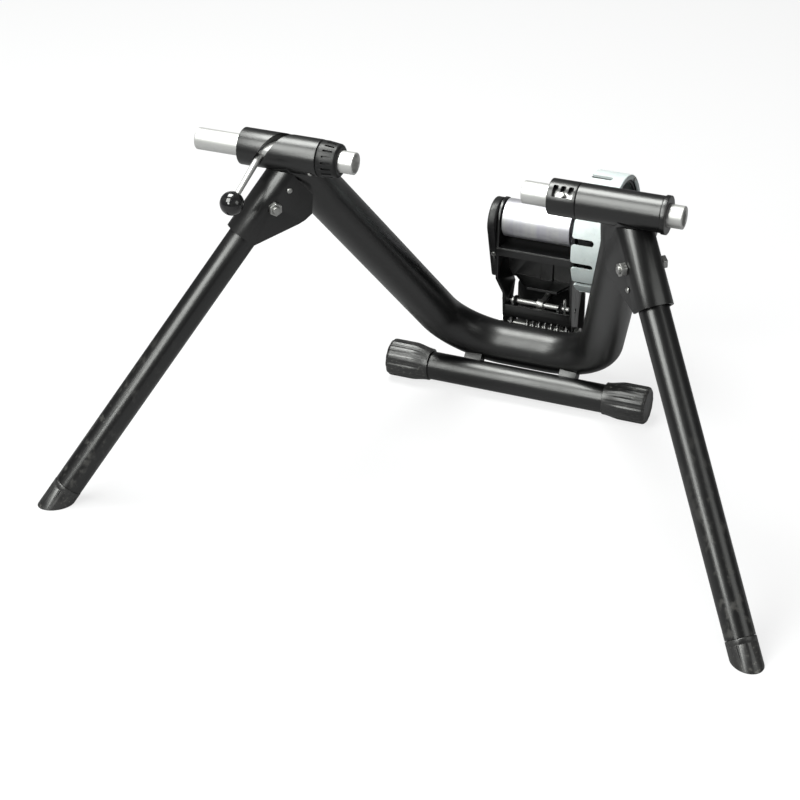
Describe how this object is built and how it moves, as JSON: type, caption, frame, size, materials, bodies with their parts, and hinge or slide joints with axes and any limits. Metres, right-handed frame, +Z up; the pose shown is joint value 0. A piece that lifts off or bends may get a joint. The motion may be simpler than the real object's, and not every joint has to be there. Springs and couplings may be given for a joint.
{
  "type": "wind bike trainer",
  "caption": "Folding stand that clamps a bicycle's rear axle and presses a fan-loaded roller to its tyre, with folding legs, lever clamp and foot crossbar.",
  "frame": {"origin": "on the floor, under the middle of the stance, halfway between the front of the legs' feet and the back of the adjuster knob and fan", "axes": "+X to the right, along the wheel's axle, +Y to the rear, where the roller is, +Z up"},
  "size_m": [0.8202, 0.5981, 0.3932],
  "materials": {
    "black_paint": "semi-gloss powder coat",
    "zinc": "zinc plated",
    "bright_steel": "polished",
    "roller_metal": "turned",
    "spring_steel": "plated",
    "black_rubber": "moulded",
    "black_plastic": "moulded",
    "grey_plastic": "moulded",
    "gloss_black": "glossy"
  },
  "bodies": {
    "trainer": {"main_frame_tube": "black_paint", "foot_crossbar": "black_paint", "left_clamp_sleeve": "black_paint", "right_clamp_sleeve": "black_paint", "right_notch_collar": "black_paint", "sleeve_set_screw": "zinc", "unit_mount": "black_paint", "hinge_pin": "zinc", "hinge_nut": "zinc", "hinge_spring": "spring_steel", "left_foot_spacer": "black_paint", "right_foot_spacer": "black_paint", "left_foot_bolt": "zinc", "right_foot_bolt": "zinc", "left_foot_cap": "black_rubber", "right_foot_cap": "black_rubber", "left_leg_bracket": "black_paint", "right_leg_bracket": "black_paint", "left_pivot_bolt": "zinc", "right_pivot_bolt": "zinc", "left_pivot_nut": "zinc", "right_pivot_nut": "zinc", "left_stop_rivet": "zinc", "right_stop_rivet": "zinc"},
    "left_leg": {"left_leg_tube": "black_paint", "left_leg_foot": "black_rubber"},
    "right_leg": {"right_leg_tube": "black_paint", "right_leg_foot": "black_rubber"},
    "adjuster_collar": {"left_adjuster_cap": "black_plastic"},
    "left_clamp": {"left_cup_pin": "bright_steel"},
    "clamp_turn": {"left_clamp_shaft": "bright_steel", "clamp_lever": "bright_steel", "lever_ball": "gloss_black"},
    "right_pin": {"right_axle_pin": "bright_steel", "right_guide_stud": "bright_steel"},
    "roller_swing": {"swing_bracket": "black_paint", "left_bearing_block": "black_plastic", "block_screw": "zinc", "right_bearing_hub": "grey_plastic", "left_bearing": "bright_steel", "right_bearing": "bright_steel", "fan_housing": "grey_plastic", "fan_backplate": "black_plastic", "intake_grille": "black_plastic", "cross_rod": "bright_steel", "cross_rod_clip": "bright_steel", "housing_screw_1": "zinc", "housing_screw_2": "zinc", "housing_screw_3": "zinc"},
    "roller_spin": {"roller": "roller_metal", "roller_shaft": "bright_steel", "impeller": "black_plastic", "impeller_nut": "zinc"},
    "screw_tilt": {"adjuster_screw": "zinc"},
    "knob_turn": {"adjuster_knob": "black_plastic"}
  },
  "joints": [
    {"name": "left_leg_fold", "type": "hinge", "parent": "trainer", "child": "left_leg", "pos_m": [-0.21, -0.094, 0.319], "axis": [0.7145, -0.6997, 0], "range_deg": [0, 78]},
    {"name": "right_leg_fold", "type": "hinge", "parent": "trainer", "child": "right_leg", "pos_m": [0.21, -0.094, 0.319], "axis": [0.7145, 0.6997, 0], "range_deg": [0, 78]},
    {"name": "adjuster_turn", "type": "hinge", "parent": "trainer", "child": "adjuster_collar", "pos_m": [-0.151, -0.081, 0.373], "axis": [1, 0, 0], "continuous": true},
    {"name": "clamp_slide", "type": "slide", "parent": "trainer", "child": "left_clamp", "axis": [1, 0, 0], "range_m": [0, 0.0285]},
    {"name": "clamp_turn", "type": "hinge", "parent": "left_clamp", "child": "clamp_turn", "pos_m": [-0.219, -0.081, 0.373], "axis": [-1, 0, 0], "range_deg": [0, 134]},
    {"name": "right_pin_slide", "type": "slide", "parent": "trainer", "child": "right_pin", "axis": [1, 0, 0], "range_m": [-0.008, 0.008]},
    {"name": "roller_swing", "type": "hinge", "parent": "trainer", "child": "roller_swing", "pos_m": [0, 0.219, 0.056], "axis": [1, 0, 0], "range_deg": [-6, 6]},
    {"name": "screw_tilt", "type": "hinge", "parent": "roller_swing", "child": "screw_tilt", "pos_m": [0, 0.219, 0.087], "axis": [1, 0, 0], "range_deg": [-6.1, 6.1]},
    {"name": "knob_turn", "type": "hinge", "parent": "trainer", "child": "knob_turn", "pos_m": [0, 0.252, 0.087], "axis": [0, 1, 0], "range_deg": [-940, 940]},
    {"name": "roller_spin", "type": "hinge", "parent": "roller_swing", "child": "roller_spin", "pos_m": [0, 0.227, 0.1923], "axis": [1, 0, 0], "continuous": true}
  ],
  "couplings": [
    {"joint": "clamp_slide", "follows": "clamp_turn", "m_per_rad": 0.012143},
    {"joint": "screw_tilt", "follows": "roller_swing", "ratio": -1},
    {"joint": "knob_turn", "follows": "roller_swing", "ratio": 155.82}
  ]
}
